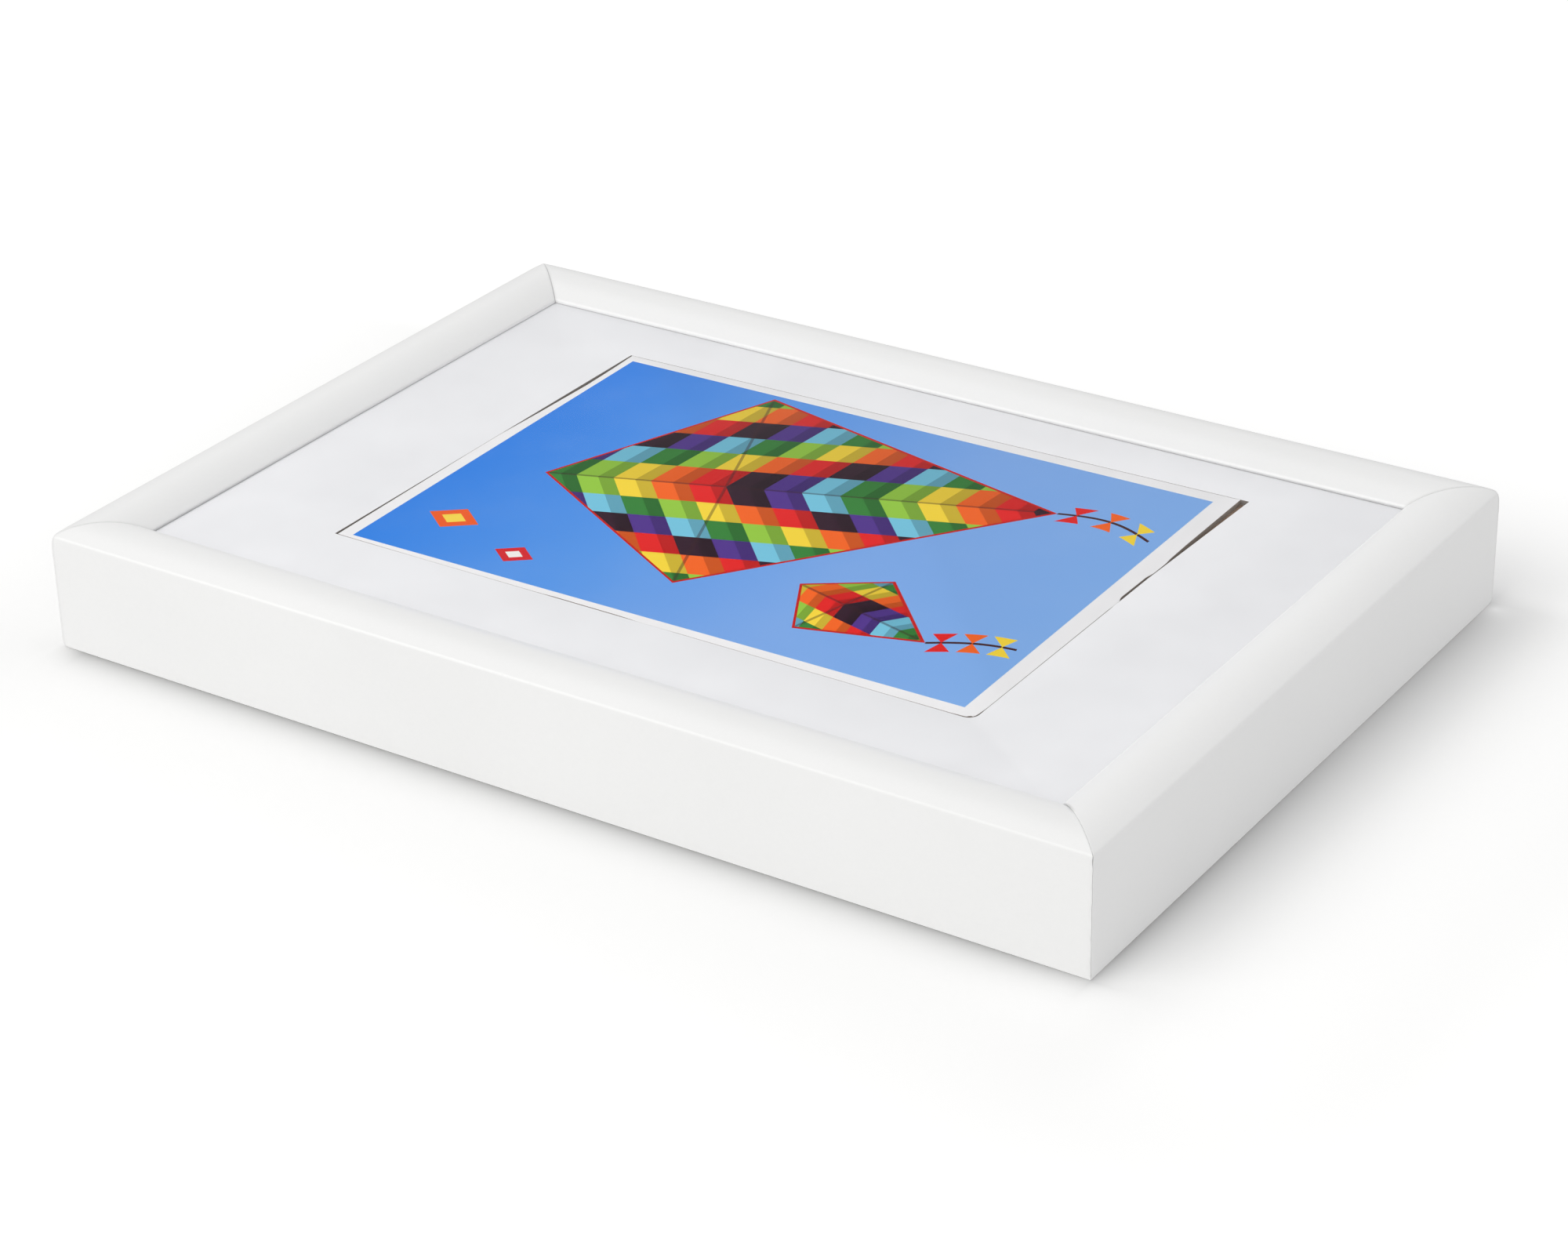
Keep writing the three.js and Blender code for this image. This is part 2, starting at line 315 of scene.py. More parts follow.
def make_edge_light_and_shade():
    """A mask for painted highlights and painted shade along an edge of a moulding's section: the amount given
    on it, 0 away from it.
    """
    labels = ("Inset", "Height", "Edge", "Reach", "Amount")
    tree, takes, gives = new_group("edge_light_and_shade", labels, ("Mask",))
    gap = vector_calc("DISTANCE", flat_place(takes["Inset"], takes["Height"]), takes["Edge"])
    share = calc("DIVIDE", gap, takes["Reach"])
    fade = spread(share, 0.3, 1.0, 1.0, 0.0)
    feed(gives["Mask"], times(fade, takes["Amount"]))
    return tree


mottle = make_mottle()
specks = make_specks()
edge_light_and_shade = make_edge_light_and_shade()


# Edges of the moulding's section, as inset and height
ARRIS = (0, WALL * MM, 0)
FOOT_EDGE = (0, 0, 0)
LIP_EDGE = (RIM * MM, LIP_TOP * MM, 0)
LIP_FOOT = (RIM * MM, LIP_UNDER * MM, 0)

# Painted highlights and painted shade along those edges, and a darker line along the mitres, in metres.
# The first pair says where along X the highlights of the frame's top end give way to those of its bottom end.
HIGHLIGHT_CHANGE = (-0.02, 0.13)
HIGHLIGHT_GLOSS = -0.08
ARRIS_REACH = 0.0006
FOOT_REACH = 0.0008
FOOT_HIGHLIGHT = 0.6
GAP_REACH = 0.0008
FAR_RIM_SHADE = 0.11
FAR_RIM_REACH = 0.009
FAR_RIM_ROUGH = 3.0
SEAM_SHADE = 0.12
SEAM_HALF = (0.0003, 0.0012)
NOTCH_SHADE = 0.45
NOTCH_START = (0.0115, 0.0145)


def satin_plastic(name, stretch, across, far_side, arris_highlight, lip_highlight, lip_reach, gap_span):
    """White satin plastic, drawn out along one axis: stretch squeezes the pattern across that axis.
    The painted highlights along the edges are given for the frame's top end and its bottom end, gap_span for
    the painted shade under the lip: an axis, where the shade begins and is full, and how deep it is."""
    material, surface, place = new_finish(name)
    uneven = use_group(mottle, Place=place, Slow=14.0, Fine=900.0)
    drawn = add_node("Mapping", Vector=place, Scale=stretch).outputs["Vector"]
    lines = noise(drawn, 1.0, Detail=3.0)
    dust = use_group(specks, Place=place, Scale=90.0, Size=0.028, Share=0.06)["Mask"]
    tone = spread(uneven["Tone"], *NOISE_SPAN)
    colour = blend(tone, srgb(238, 238, 238), srgb(242, 242, 242))
    colour = blend(times(dust, 0.35), colour, srgb(150, 148, 144))
    axes = axes_of(place)
    insets = {}
    for axis, size in (("X", OUTER_LENGTH), ("Y", OUTER_WIDTH)):
        insets[axis] = calc("SUBTRACT", size / 2 * MM, calc("ABSOLUTE", axes[axis]))
    section = {"Inset": insets[across], "Height": axes["Z"]}

    def edge_mask(edge, reach, amount):
        return use_group(edge_light_and_shade, **section, Edge=edge, Reach=reach, Amount=amount)["Mask"]

    far = calc("GREATER_THAN", times(axes[across], far_side), 0.0)
    # Painted highlights on the arris, lip and foot; the arris one fades along X and is left off the far side
    amount = times(
        spread(axes["X"], *HIGHLIGHT_CHANGE, *arris_highlight),
        spread(lines, 0.3, 0.5, 0.7, 1.0),
        calc("SUBTRACT", 1.0, far),
    )
    arris = edge_mask(ARRIS, ARRIS_REACH, amount)
    lip = edge_mask(LIP_EDGE, lip_reach, spread(axes["X"], *HIGHLIGHT_CHANGE, *lip_highlight))
    foot = edge_mask(FOOT_EDGE, FOOT_REACH, FOOT_HIGHLIGHT)
    painted_highlight = chain("MAXIMUM", arris, lip, foot)
    colour = blend(painted_highlight, colour, srgb(252, 252, 252))
    # Painted shade on the far rim, under the lip and in the near corner's notch; a darker line on the mitres
    far_rim = edge_mask(ARRIS, FAR_RIM_REACH, times(far, FAR_RIM_SHADE))
    off_mitre = calc("ABSOLUTE", calc("SUBTRACT", insets["X"], insets["Y"]))
    seam = spread(off_mitre, *SEAM_HALF, 1.0, 0.0)
    low_end = calc("GREATER_THAN", axes["X"], 0.0)
    near_corner = times(low_end, calc("LESS_THAN", axes["Y"], 0.0))
    notch = spread(insets["X"], *NOTCH_START, 0.0, NOTCH_SHADE)
    change = calc("SUBTRACT", notch, SEAM_SHADE)
    seam = times(seam, calc("MULTIPLY_ADD", near_corner, change, SEAM_SHADE))
    along, begin, full, depth = gap_span
    gap = edge_mask(LIP_FOOT, GAP_REACH, spread(axes[along], begin, full, 0.0, depth))
    shade = chain("MAXIMUM", far_rim, seam, gap)
    feed(surface.inputs["Base Color"], blend(shade, colour, srgb(150, 150, 149)))
    rough = spread(uneven["Tone"], *NOISE_SPAN, 0.29, 0.37)
    rough = calc("MULTIPLY_ADD", painted_highlight, HIGHLIGHT_GLOSS, rough)
    feed(surface.inputs["Roughness"], calc("MULTIPLY_ADD", far_rim, FAR_RIM_ROUGH, rough))
    bump(surface, weigh(lines, uneven["Height"], 0.7), 0.12, 0.0001)
    surface.inputs["IOR"].default_value = 1.47
    return material


def clear_sheet():
    """Clear pane: mostly see-through, with a faint gloss that grows towards a flat view."""
    material, surface, place = new_finish("clear_sheet")
    paint(surface, (1, 1, 1, 1), noise(place, 60.0), (0.03, 0.06))
    surface.inputs["Metallic"].default_value = 1.0
    tree = material.node_tree
    through = add_node("BsdfTransparent", tree=tree, Color=(0.996, 0.997, 0.997, 1))
    gloss = add_node("Fresnel", tree=tree, IOR=1.3).outputs["Fac"]
    inner = add_node("NewGeometry", tree=tree).outputs["Backfacing"]
    share = times(gloss, spread(inner, 0.0, 1.0, 0.15, 0.0))
    mix_shaders(share, through, surface)
    return material


CORE_INSET = 0.03


def cut_edge(place, thickness):
    """1 on the upright cut edges of a sheet that lies on the back panel, 0 on its faces."""
    height = axes_of(place)["Z"]
    above = calc("GREATER_THAN", height, (MAT_BOTTOM + CORE_INSET) * MM)
    below = calc("LESS_THAN", height, (MAT_BOTTOM + thickness - CORE_INSET) * MM)
    return times(above, below)


def mat_paper():
    """Cool white mat board with a faint cloudy tone, a paper tooth and a grey core."""
    material, surface, place = new_finish("mat_paper")
    uneven = use_group(mottle, Place=place, Slow=45.0, Fine=2600.0)
    tone = spread(uneven["Tone"], *NARROW_SPAN)
    colour = blend(tone, srgb(240, 240, 243), srgb(245, 245, 248))
    dust = use_group(specks, Place=place, Scale=70.0, Size=0.03, Share=0.05)["Mask"]
    colour = blend(times(dust, 0.3), colour, srgb(150, 150, 150))
    colour = blend(cut_edge(place, MAT_THICKNESS), colour, srgb(144, 138, 133))
    paint(surface, colour, uneven["Tone"], (0.8, 0.92))
    bump(surface, uneven["Height"], 0.2, 0.00004)
    surface.inputs["Specular IOR Level"].default_value = 0.25
    return material


RAINBOW = (
    srgb(226, 40, 40),
    srgb(244, 104, 40),
    srgb(246, 214, 66),
    srgb(150, 200, 70),
    srgb(58, 130, 60),
    srgb(120, 196, 222),
    srgb(84, 56, 140),
    srgb(52, 30, 44),
)

# Motifs of the print, in millimetres to the right of the picture's middle and above it
KITES = (
    {"Centre": (9, 25, 0), "Turn": -0.34, "Width": 122.0, "Height": 148.0, "Patch": 11.0},
    {"Centre": (-36, -42, 0), "Turn": 0.26, "Width": 38.0, "Height": 48.0, "Patch": 7.0},
)
TAILS = (
    {"Centre": (40.6, -64.3, 0), "Turn": 0.1, "Length": 30.0, "Swing": 4.0, "Pitch": 10.0},
    {"Centre": (-43.9, -71.7, 0), "Turn": -0.3, "Length": 24.0, "Swing": 2.5, "Pitch": 8.0},
)
FAR_KITES = (
    ((-46, 80), 8.5, (240, 96, 44)),
    ((-46, 80), 4.2, (248, 216, 84)),
    ((-56, 52), 6.5, (214, 44, 52)),
    ((-56, 52), 3, (244, 240, 236)),
)
KITE_TOP = 0.36
PATCH_SLANT = 0.45
PATCH_SHADED = 0.42
SPAR_HALF = 0.45
BINDING = 1.1
TAIL_WAVE = 0.105
BOW_REACH = 5.2
BOW_SLOPE = 0.62
CORD_HALF = 0.55


def local_place(place, centre, turn):
    """How far a place lies to the right of a motif's middle and above it, with the motif turned."""
    offset = vector_calc("SUBTRACT", place, centre)
    turned = add_node("VectorRotate", {"rotation_type": "Z_AXIS"}, Vector=offset, Angle=turn)
    axes = axes_of(turned.outputs[0])
    return axes["X"], axes["Y"]


def make_kite():
    """A kite sewn from patches in rainbow chevrons, with spars and a bound edge."""
    labels = ("Place", "Centre", "Turn", "Width", "Height", "Patch")
    tree, takes, gives = new_group("kite", labels, ("Colour", "Mask"))
    right, up = local_place(takes["Place"], takes["Centre"], takes["Turn"])
    side = calc("ABSOLUTE", right)
    level = calc("DIVIDE", up, takes["Height"])
    upper = calc("DIVIDE", calc("SUBTRACT", KITE_TOP, level), KITE_TOP)
    lower = calc("DIVIDE", calc("ADD", level, 1 - KITE_TOP), 1 - KITE_TOP)
    half_width = times(takes["Width"], 0.5)
    reach = times(calc("MINIMUM", upper, lower), half_width)
    feed(gives["Mask"], calc("LESS_THAN", side, reach))
    slanted = calc("DIVIDE", calc("MULTIPLY_ADD", side, PATCH_SLANT, up), takes["Patch"])
    row = calc("FLOOR", slanted)
    column = calc("FLOOR", calc("DIVIDE", side, takes["Patch"]))
    step = calc("ADD", calc("MULTIPLY_ADD", column, 2.0, row), 0.5)
    hues = len(RAINBOW)
    hue = calc("DIVIDE", calc("FLOORED_MODULO", step, hues), hues)
    colour = colour_bands(hue, RAINBOW, True)
    shaded = calc("LESS_THAN", calc("FRACT", slanted), PATCH_SHADED)
    shade = calc("MULTIPLY_ADD", shaded, -0.34, 1.0)
    fold = calc("MULTIPLY_ADD", calc("GREATER_THAN", right, 0.0), -0.2, 1.04)
    cloth = times(shade, fold)
    lit = blend(1.0, colour, add_grey(cloth), "MULTIPLY")
    spar = calc("LESS_THAN", calc("MINIMUM", side, calc("ABSOLUTE", up)), SPAR_HALF)
    bound = calc("LESS_THAN", calc("SUBTRACT", reach, side), BINDING)
    lit = blend(times(spar, 0.55), lit, srgb(60, 36, 40))
    feed(gives["Colour"], blend(bound, lit, srgb(196, 36, 34)))
    return tree


def make_tail():
    """A kite's waving tail cord with bows tied in, running down from its start."""
    labels = ("Place", "Centre", "Turn", "Length", "Swing", "Pitch")
    tree, takes, gives = new_group("tail", labels, ("Colour", "Mask"))
    right, up = local_place(takes["Place"], takes["Centre"], takes["Turn"])
    along = times(up, -1.0)
    wave = calc("SINE", times(along, TAIL_WAVE))
    aside = calc("SUBTRACT", right, times(wave, takes["Swing"]))
    away = calc("ABSOLUTE", aside)
    bow = calc("DIVIDE", along, takes["Pitch"])
    begun = calc("GREATER_THAN", along, 0.0)
    inside = times(begun, calc("LESS_THAN", along, takes["Length"]))
    off_knot = calc("ABSOLUTE", calc("SUBTRACT", calc("FRACT", bow), 0.5))
    knot = times(off_knot, takes["Pitch"])
    fanned = calc("LESS_THAN", knot, times(away, BOW_SLOPE))
    wing = times(calc("LESS_THAN", away, BOW_REACH), fanned)
    cord = calc("LESS_THAN", away, CORD_HALF)
    feed(gives["Mask"], times(inside, calc("MAXIMUM", wing, cord)))
    hues = RAINBOW[:-1]
    count = calc("ADD", calc("FLOOR", bow), 0.5)
    hue = calc("FRACT", calc("DIVIDE", count, len(hues)))
    feed(gives["Colour"], blend(wing, srgb(70, 40, 44), colour_bands(hue, hues, True)))
    return tree


def printed_paper():
    """The card's print: patched kites over a blue sky inside a white border."""
    material, surface, place = new_finish("printed_paper")
    axes = axes_of(place)
    right = times(axes["Y"], 1 / MM)
    up = times(axes["X"], -1 / MM)
    middle = (PICTURE_ASIDE, -PICTURE_DOWN, 0)
    right, up = local_place(flat_place(right, up), middle, -PICTURE_TURN)
    spot = flat_place(right, up)
    blues = (srgb(52, 132, 231), srgb(92, 154, 234), srgb(128, 172, 235), srgb(132, 177, 237))
    picture = colour_bands(spread(up, PICTURE_LENGTH / 2, -PICTURE_LENGTH / 2), blues)
    haze = noise(spot, 0.035, Detail=5.0, Roughness=0.55)
    picture = blend(spread(haze, 0.45, 0.8, 0.0, 0.06), picture, srgb(176, 204, 240))
    for group, motifs in ((make_tail(), TAILS), (make_kite(), KITES)):
        for motif in motifs:
            made = use_group(group, Place=spot, **motif)
            picture = blend(made["Mask"], picture, made["Colour"])
    for centre, size, colour in FAR_KITES:
        aside = calc("ABSOLUTE", calc("SUBTRACT", right, centre[0]))
        above = calc("ABSOLUTE", calc("SUBTRACT", up, centre[1]))
        diamond = calc("LESS_THAN", calc("MULTIPLY_ADD", aside, 1.3, above), size)
        picture = blend(diamond, picture, srgb(*colour))
    aside = calc("SUBTRACT", calc("ABSOLUTE", right), PICTURE_WIDTH / 2)
    above = calc("SUBTRACT", calc("ABSOLUTE", up), PICTURE_LENGTH / 2)
    outside = calc("GREATER_THAN", calc("MAXIMUM", aside, above), 0.0)
    uneven = use_group(mottle, Place=place, Slow=60.0, Fine=3000.0)
    tone = spread(uneven["Tone"], *NARROW_SPAN)
    border = blend(tone, srgb(241, 240, 242), srgb(246, 245, 247))
    colour = blend(outside, picture, border)
    # The card's cut edge is coloured grey-brown, darker than its paper, as painted shade in the gaps round
    # the card
    colour = blend(cut_edge(place, CARD_THICKNESS), colour, srgb(164, 153, 145))
    paint(surface, colour, uneven["Tone"], (0.5, 0.62))
    bump(surface, uneven["Height"], 0.1, 0.00003)
    surface.inputs["Specular IOR Level"].default_value = 0.01
    return material


SCREEN_PITCH = 0.0016


def pressed_board():
    """Brown hardboard, fibrous, with the print of the press's wire screen."""
    material, surface, place = new_finish("pressed_board")
    uneven = use_group(mottle, Place=place, Slow=30.0, Fine=700.0)
    fibres = noise(place, 420.0, Detail=6.0, Distortion=2.5)
    axes = axes_of(place)
    pace = 2 * math.pi / SCREEN_PITCH
    wires = [calc("SINE", times(axes[axis], pace)) for axis in "XY"]
    screen = times(*wires)
    tone = weigh(fibres, uneven["Tone"], 0.55)
    browns = (srgb(110, 90, 74), srgb(146, 122, 103), srgb(168, 144, 124))
    brown = colour_bands(spread(tone, 0.36, 0.64), browns)
    dents = spread(screen, -1.0, 0.4, 0.25, 0.0)
    paint(surface, blend(dents, brown, srgb(98, 78, 62)), tone, (0.72, 0.92))
    bump(surface, calc("MULTIPLY_ADD", screen, 0.3, fibres), 0.5, 0.00025)
    return material


def zinc_plate():
    """Zinc-plated steel: pale grey metal with a blotchy plate and fine scratches."""
    material, surface, place = new_finish("zinc_plate")
    uneven = use_group(mottle, Place=place, Slow=220.0, Fine=2400.0)
    long_way = add_node("Mapping", Vector=place, Scale=(300.0, 4200.0, 3000.0))
    scratches = noise(long_way.outputs["Vector"], 1.0, Detail=2.0)
    tone = weigh(scratches, uneven["Tone"], 0.4)
    greys = (srgb(168, 170, 172), srgb(196, 198, 200), srgb(214, 214, 212))
    paint(surface, colour_bands(spread(tone, *NARROW_SPAN), greys), tone, (0.24, 0.42))
    surface.inputs["Metallic"].default_value = 1.0
    bump(surface, scratches, 0.15, 0.00003)
    return material


long_plastic = satin_plastic(
    "long_plastic",
    stretch=(6.0, 700.0, 700.0),
    across="Y",
    far_side=1.0,
    arris_highlight=(0.65, 0.2),
    lip_highlight=(0.85, 0.85),
    lip_reach=0.0007,
    gap_span=("X", -0.1, 0.14, 0.35),
)
short_plastic = satin_plastic(
    "short_plastic",
    stretch=(700.0, 6.0, 700.0),
    across="X",
    far_side=-1.0,
    arris_highlight=(0.15, 0.15),
    lip_highlight=(0.0, 0.85),
    lip_reach=0.002,
    gap_span=("Y", 0.08, -0.1, 0.5),
)
clear_finish = clear_sheet()
mat_finish = mat_paper()
print_finish = printed_paper()
board_finish = pressed_board()
zinc_finish = zinc_plate()


# Mesh building, in millimetres

SHARP_ANGLE = math.radians(34)
SLICE_TOUCH = 0.0001
TOUCH = 0.01


def pick(geometry, kind):
    return [item for item in geometry if isinstance(item, kind)]


def soften(bm, parts, offset, segments=2, affect="EDGES"):
    bmesh.ops.bevel(
        bm,
        geom=parts,
        offset=offset,
        offset_type="OFFSET",
        segments=segments,
        profile=0.5,
        affect=affect,
        material=-1,
    )


def round_corners(bm, verts, radius, segments):
    soften(bm, verts, radius, segments, "VERTICES")


def face_outward(bm):
    bmesh.ops.recalc_face_normals(bm, faces=bm.faces)


def shift(bm, by, verts=None):
    bmesh.ops.translate(bm, vec=by, verts=verts or bm.verts)


def weld(bm, reach=0.001):
    bmesh.ops.remove_doubles(bm, verts=bm.verts, dist=reach)


def slice_through(bm, point, normal, parts=None, clear=False):
    """Cuts a mesh, or some parts of it, along a plane and returns what lies on the cut."""
    return bmesh.ops.bisect_plane(
        bm,
        geom=parts or bm.verts[:] + bm.edges[:] + bm.faces[:],
        dist=SLICE_TOUCH,
        plane_co=point,
        plane_no=normal,
        clear_outer=clear,
    )["geom_cut"]


def raise_faces(bm, faces, by):
    """Draws faces out into a solid and returns the far ones."""
    made = bmesh.ops.extrude_face_region(bm, geom=faces)["geom"]
    shift(bm, by, pick(made, bmesh.types.BMVert))
    return pick(made, bmesh.types.BMFace)


def sharp_edges(bm, above=-math.inf):
    """Edges where faces meet at a clear angle, all of them or those above a height."""
    edges = [edge for edge in bm.edges if edge.calc_face_angle(0) > 1]
    return [edge for edge in edges if min(vert.co.z for vert in edge.verts) > above]


def add_rectangle(bm, length, width):
    size = Matrix.Diagonal((length, width, 1, 1))
    bmesh.ops.create_grid(bm, x_segments=1, y_segments=1, size=0.5, matrix=size)


def fill_between(bm):
    """Leaves one flat face around an opening, from the outlines of both."""
    bmesh.ops.delete(bm, geom=bm.faces[:], context="FACES_ONLY")
    bmesh.ops.bridge_loops(bm, edges=bm.edges)


def add_object(name, data):
    made = bpy.data.objects.new(name, data)
    bpy.context.scene.collection.objects.link(made)
    return made


def add_mesh(name, bm, *finishes):
    mesh = bpy.data.meshes.new(name)
    bm.to_mesh(mesh)
    bm.free()
    for finish in finishes:
        mesh.materials.append(finish)
    return add_object(name, mesh)


def finish_piece(name, bm, finish, body, slot, *nodes):
    bmesh.ops.scale(bm, vec=(MM, MM, MM), verts=bm.verts)
    for face in bm.faces:
        face.smooth = True
    for edge in bm.edges:
        edge.smooth = edge.calc_face_angle(0) < SHARP_ANGLE
    piece = add_mesh(name, bm, finish)
    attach(piece, body)
    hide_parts(*nodes)


def placed(bm, matrix):
    bmesh.ops.transform(bm, matrix=matrix, verts=bm.verts)
    return bm


def quarter_turn(count):
    return Matrix.Rotation(count * math.pi / 2, 4, "Z")


def moulding_section(bm):
    """The moulding's section in the YZ plane: an arc over the front, the outer wall and round behind."""
    arris = Vector((0, 0, WALL))
    lip = Vector((0, RIM, LIP_TOP))
    chord = lip - arris
    half = chord.length / 2
    radius = (half**2 + CROWN_RISE**2) / (2 * CROWN_RISE)
    upwards = Vector((0, -chord.z, chord.y)).normalized()
    centre = (arris + lip) / 2 + upwards * (CROWN_RISE - radius)
    angle = 2 * math.asin(half / radius)
    start = bm.verts.new(lip)
    bmesh.ops.spin(bm, geom=[start], cent=centre, axis=(1, 0, 0), angle=angle, steps=CROWN_STEPS)
    crown = list(bm.verts)
    corners = ((0, 0), (LEG, 0), (LEG, SHOULDER), (REBATE, SHOULDER), (REBATE, LIP_UNDER), (RIM, LIP_UNDER))
    behind = [bm.verts.new((0, inset, height)) for inset, height in corners]
    bm.faces.new(crown + behind)
    for verts, bend in (
        (crown[-1:], ARRIS_BEND),
        (crown[:1], LIP_BEND),
        (behind[5:], LIP_UNDER_BEND),
        (behind[:2], FOOT_BEND),
        (behind[2:4], REBATE_BEND),
    ):
        round_corners(bm, verts, bend, BEND_STEPS)
    wall = [edge for edge in bm.edges if all(abs(vert.co.y) < TOUCH for vert in edge.verts)]
    bmesh.ops.subdivide_edges(bm, edges=wall, cuts=WALL_STEPS - 1)


def foot_faces(bm):
    return [face for face in bm.faces if face.normal.z < -0.9 and face.calc_center_median().z < TOUCH]


def sink_slot(bm, low, high, depth):
    """Sinks a slot into the foot of a bar, between two corners of the foot's face."""
    for axis in (0, 1):
        for limit in (low[axis], high[axis]):
            foot = foot_faces(bm)
            parts = foot + list({edge for face in foot for edge in face.edges})
            parts += list({vert for face in foot for vert in face.verts})
            point = [0, 0, 0]
            normal = [0, 0, 0]
            point[axis] = limit
            normal[axis] = 1
            slice_through(bm, point, normal, parts)
    opening = []
    for face in foot_faces(bm):
        middle = face.calc_center_median()
        if low[0] < middle.x < high[0] and low[1] < middle.y < high[1]:
            opening.append(face)
    made = bmesh.ops.extrude_discrete_faces(bm, faces=opening)["faces"]
    shift(bm, (0, 0, depth), list({vert for face in made for vert in face.verts}))


# Distances from a mitre at which a bar is cut across, so that its tip can be worn
TIP_CUTS = (0.6, 1.3, 2.2, 3.4, 5, 8)

# Worn tips of an outer corner: height, up or down, depth and reach
WORN_TIPS = ((WALL, 1, 0.8, 1.6), (0, -1, 0.5, 1.2))

# Near corner: size, pace and start of the waves in its upright edge, and how far that edge stands back
EDGE_WAVES = ((0.1, 0.85, 1), (0.08, 2.1, 0))
EDGE_BACK = 0.18
MITRE_REACH = 0.3

# Near corner: width of the open joint, how far short of the arris or the lip it is widest, and its reach
ARRIS_GAPE = (0.13, 1.2, 1.2)
LIP_GAPE = (0.34, 1.8, 1.7)


def wear_tip(bm, length, span, end):
    """Rounds the upper and lower tip of a bar's outer corner."""
    for height, upward, depth, reach in WORN_TIPS:
        tip = Vector((end * length / 2, -span, height))
        outward = Vector((end, -1, upward)).normalized()
        for vert in bm.verts:
            vert.co -= outward * (depth * math.exp(-(vert.co - tip).length / reach))


def gape_at(gape, past):
    width, short, reach = gape
    return width * math.exp(-(((past + short) / reach) ** 2))


def roughen_mitre(bm, length, span, end):
    """Makes the near corner uneven: a wavering upright edge, and a joint that gapes at its two ends."""
    outward = Vector((end, -1, 0)).normalized()
    for vert in bm.verts:
        inset = vert.co.y + span
        height = vert.co.z
        if end * vert.co.x < length / 2 - inset - MITRE_GAP - MITRE_REACH:
            continue
        if inset < 0.1 and 0.5 < height < WALL - 0.5:
            waver = sum(size * math.sin(pace * height + start) for size, pace, start in EDGE_WAVES)
            vert.co += outward * (waver - EDGE_BACK)
        gape = gape_at(ARRIS_GAPE, height - WALL) if inset < 0.6 else 0
        gape += gape_at(LIP_GAPE, inset - RIM) if height > LIP_UNDER - 0.1 else 0
        vert.co.x -= end * gape


def mitre_edges(bm, span):
    """The edges of both mitres that show, over the front and down the outer corner."""
    found = []
    for edge in bm.edges:
        faces = edge.link_faces
        if len(faces) != 2 or edge.calc_face_angle(0) < 0.5:
            continue
        ends = [abs(face.normal.x) > 0.6 and abs(face.normal.y) > 0.6 for face in faces]
        foot = min(vert.co.z for vert in edge.verts)
        outside = foot > 1 and all(vert.co.y < -span + TOUCH for vert in edge.verts)
        if any(ends) and (foot > LIP_TOP - 0.5 or outside):
            found.append(edge)
    return found


def moulding_bar(length, span, near_end):
    """A moulding along X on the -Y side, mitred at both ends and slotted for the corner nails."""
    bm = bmesh.new()
    moulding_section(bm)
    shift(bm, (-length / 2 - 1, -span, 0))
    raise_faces(bm, bm.faces[:], (length + 2, 0, 0))
    for end in (-1, 1):
        point = (end * (length / 2 - MITRE_GAP), -span, 0)
        cut = slice_through(bm, point, (end, 1, 0), clear=True)
        bmesh.ops.edgeloop_fill(bm, edges=pick(cut, bmesh.types.BMEdge))
    face_outward(bm)
    middle = NAIL_INSET - span
    for end in (-1, 1):
        slot = sorted((end * (length / 2 - NAIL_INSET - NAIL_LEG - NAIL_ROOM), end * (length / 2 + 1)))
        low = (slot[0], middle - NAIL_SLOT_HALF)
        high = (slot[1], middle + NAIL_SLOT_HALF)
        sink_slot(bm, low, high, NAIL_HEIGHT)
    for end in (-1, 1):
        for back in TIP_CUTS:
            slice_through(bm, (end * (length / 2 - MITRE_GAP - back), -span, 0), (end, 1, 0))
        if end != near_end:
            wear_tip(bm, length, span, end)
    mitre = mitre_edges(bm, span)
    near = [edge for edge in mitre if near_end * edge.verts[0].co.x > 0]
    soften(bm, [edge for edge in mitre if edge not in near], MITRE_ARRIS)
    soften(bm, near, NEAR_MITRE_ARRIS)
    bmesh.ops.dissolve_degenerate(bm, edges=bm.edges, dist=0.001)
    if near_end:
        roughen_mitre(bm, length, span, near_end)
    return bm


def clear_pane():
    bm = bmesh.new()
    size = Matrix.Diagonal((SHEET_LENGTH, SHEET_WIDTH, PANE_THICKNESS, 1))
    place = Matrix.Translation((0, 0, PANE_BOTTOM + PANE_THICKNESS / 2))
    bmesh.ops.create_cube(bm, size=1, matrix=place @ size)
    soften(bm, bm.edges[:], PANE_ARRIS)
    return bm


def window_shape(bm, bulge):
    """The window's outline: two edges stand further out towards one corner, and another corner is round."""
    x = WINDOW_LENGTH / 2
    y = WINDOW_WIDTH / 2
    flare = WINDOW_FLARE / 2
    bend = (x, WINDOW_BULGE_START - WINDOW_ASIDE)
    corners = ((-x, -y), (x, -y), bend, (x + bulge, y + flare), (-x, y - flare))
    verts = [bm.verts.new((WINDOW_DOWN + along, WINDOW_ASIDE + aside, 0)) for along, aside in corners]
    bm.faces.new(verts)
    round_corners(bm, [verts[1]], WINDOW_BEND, 6)


def thicken(bm, thickness, arris):
    """Makes a flat shape into a sheet on the back panel, with its upper edges a little rounded."""
    shift(bm, (0, 0, MAT_BOTTOM))
    raise_faces(bm, bm.faces[:], (0, 0, thickness))
    face_outward(bm)
    soften(bm, sharp_edges(bm, MAT_BOTTOM + thickness - TOUCH), arris)
    return bm


def mat_sheet():
    bm = bmesh.new()
    add_rectangle(bm, SHEET_LENGTH, SHEET_WIDTH)
    window_shape(bm, WINDOW_BULGE)
    fill_between(bm)
    return thicken(bm, MAT_THICKNESS, MAT_ARRIS)


